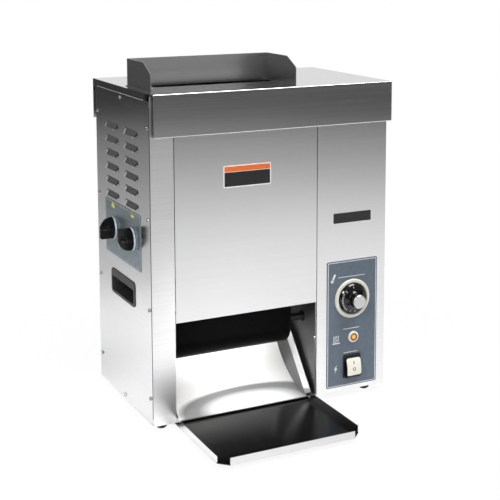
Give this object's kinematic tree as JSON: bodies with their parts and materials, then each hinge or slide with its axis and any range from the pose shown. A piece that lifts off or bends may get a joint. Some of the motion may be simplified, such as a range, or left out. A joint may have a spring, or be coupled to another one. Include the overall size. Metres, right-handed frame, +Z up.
{
  "type": "conveyor toaster",
  "caption": "Upright contact toaster for buns: sheet-metal cabinet with a feed hopper on its lid, a belt conveyor facing a heated platen, two gap knobs, and a discharge slide and tray.",
  "frame": {"origin": "centre of the whole machine's footprint, tray, lid and knobs included, at the height of the feet's undersides", "axes": "+X to the right seen from the front, +Y from the exit side to the back, +Z up"},
  "size_m": [0.4602, 0.444, 0.591],
  "materials": {
    "cabinet_sheet": "brushed stainless sheet",
    "side_sheet": "brushed stainless sheet",
    "front_sheet": "brushed stainless sheet",
    "back_sheet": "brushed stainless sheet",
    "lid_sheet": "brushed stainless sheet",
    "hopper_sheet": "polished stainless sheet",
    "chamber_sheet": "dull stainless sheet, heat tinted",
    "slide_sheet": "brushed stainless sheet",
    "tray_sheet": "polished stainless sheet",
    "cup_plastic": "satin grey moulding",
    "screw_steel": "bright screw heads",
    "foot_rubber": "black rubber",
    "works_steel": "plain steel plate",
    "shaft_steel": "ground steel bar",
    "belt_cover": "smooth black release-coated belt",
    "slider_alloy": "plain aluminium sheet",
    "roller_alloy": "turned aluminium",
    "bush_bronze": "turned bronze",
    "gear_steel": "cut steel",
    "motor_paint": "black paint",
    "platen_alloy": "machined aluminium",
    "element_sheath": "dark oxidised sheath",
    "bulb_copper": "plain copper",
    "knob_black": "gloss black moulding",
    "scale_face": "slate blue-grey face",
    "control_face": "slate blue-grey face",
    "bezel_cream": "satin cream moulding",
    "cap_silver": "spun aluminium cap",
    "body_black": "black moulding",
    "lamp_ring": "cream moulding",
    "lamp_amber": "translucent amber moulding",
    "switch_black": "gloss black moulding",
    "rocker_cream": "cream moulding under a clear cover",
    "terminal_cream": "cream moulding",
    "gland_black": "black moulding"
  },
  "bodies": {
    "cabinet": {"base_pan": "cabinet_sheet", "top_frame": "cabinet_sheet", "tray_runners": "cabinet_sheet", "left_side_panel": "side_sheet", "right_side_panel": "side_sheet", "left_front_column": "front_sheet", "control_column": "front_sheet", "front_panel": "front_sheet", "back_panel": "back_sheet", "top_lid": "lid_sheet", "feed_hopper": "hopper_sheet", "chamber_wall_left": "chamber_sheet", "chamber_wall_right": "chamber_sheet", "heat_shield": "chamber_sheet", "discharge_slide": "slide_sheet", "left_handle_cup": "cup_plastic", "right_handle_cup": "cup_plastic", "panel_screws": "screw_steel", "foot_front_left": "foot_rubber", "foot_front_right": "foot_rubber", "foot_rear_left": "foot_rubber", "foot_rear_right": "foot_rubber", "motor_bracket": "works_steel", "platen_pivot_pins": "shaft_steel", "drive_bearings": "bush_bronze", "spindle_bushes": "bush_bronze", "gearmotor": "motor_paint", "scale_plate": "scale_face", "control_plate": "control_face", "thermostat_bezel": "bezel_cream", "thermostat_body": "body_black", "lamp_bezel": "lamp_ring", "lamp_lens": "lamp_amber", "switch_housing": "switch_black", "terminal_block": "terminal_cream", "cord_gland": "gland_black"},
    "belt_carriage": {"belt_frame_left": "works_steel", "belt_frame_right": "works_steel", "belt_tie_bars": "shaft_steel", "conveyor_belt": "belt_cover", "belt_slider": "slider_alloy"},
    "drive_roller": {"drive_shaft": "shaft_steel", "drive_roller": "roller_alloy", "drive_gear": "gear_steel"},
    "top_roller": {"top_roller": "roller_alloy"},
    "motor_pinion": {"motor_pinion": "gear_steel"},
    "platen_carriage": {"platen": "platen_alloy", "heating_element": "element_sheath", "platen_carrier": "works_steel", "thermostat_bulb": "bulb_copper"},
    "heel_knob": {"heel_knob": "knob_black", "heel_spindle": "shaft_steel"},
    "crown_knob": {"crown_knob": "knob_black", "crown_spindle": "shaft_steel"},
    "thermostat_dial": {"thermostat_knob": "knob_black", "thermostat_cap": "cap_silver"},
    "power_rocker": {"power_rocker": "rocker_cream"},
    "tray": {"tray": "tray_sheet"}
  },
  "joints": [
    {"name": "belt_tilt", "type": "hinge", "parent": "cabinet", "child": "belt_carriage", "pos_m": [0, 0.0007, 0.1384], "axis": [-1, 0, 0], "range_deg": [0, 1.5]},
    {"name": "platen_tilt", "type": "hinge", "parent": "cabinet", "child": "platen_carriage", "pos_m": [0, 0.096, 0.124], "axis": [1, 0, 0], "range_deg": [0, 1.5]},
    {"name": "heel_knob_turn", "type": "hinge", "parent": "cabinet", "child": "heel_knob", "pos_m": [-0.2049, 0.036, 0.3], "axis": [1, 0, 0], "range_deg": [0, 180]},
    {"name": "crown_knob_turn", "type": "hinge", "parent": "cabinet", "child": "crown_knob", "pos_m": [-0.2049, 0.1264, 0.3], "axis": [1, 0, 0], "range_deg": [0, 180]},
    {"name": "drive_roller_spin", "type": "hinge", "parent": "cabinet", "child": "drive_roller", "pos_m": [0, 0.0007, 0.1384], "axis": [1, 0, 0], "continuous": true},
    {"name": "top_roller_spin", "type": "hinge", "parent": "belt_carriage", "child": "top_roller", "pos_m": [0, 0.0007, 0.5], "axis": [1, 0, 0], "continuous": true},
    {"name": "motor_pinion_spin", "type": "hinge", "parent": "cabinet", "child": "motor_pinion", "pos_m": [0.1001, 0.0457, 0.1384], "axis": [1, 0, 0], "continuous": true},
    {"name": "thermostat_turn", "type": "hinge", "parent": "cabinet", "child": "thermostat_dial", "pos_m": [0.1598, -0.049, 0.174], "axis": [0, 1, 0], "range_deg": [0, 270]},
    {"name": "power_rocker_tip", "type": "hinge", "parent": "cabinet", "child": "power_rocker", "pos_m": [0.1601, -0.048, 0.054], "axis": [1, 0, 0], "range_deg": [0, 20]},
    {"name": "tray_slide", "type": "slide", "parent": "cabinet", "child": "tray", "axis": [0, -1, 0], "range_m": [0, 0.075]}
  ],
  "couplings": [
    {"joint": "heel_knob_turn", "follows": "belt_tilt", "ratio": 119.99},
    {"joint": "crown_knob_turn", "follows": "platen_tilt", "ratio": 119.99},
    {"joint": "top_roller_spin", "follows": "drive_roller_spin", "ratio": 1},
    {"joint": "motor_pinion_spin", "follows": "drive_roller_spin", "ratio": -2}
  ]
}
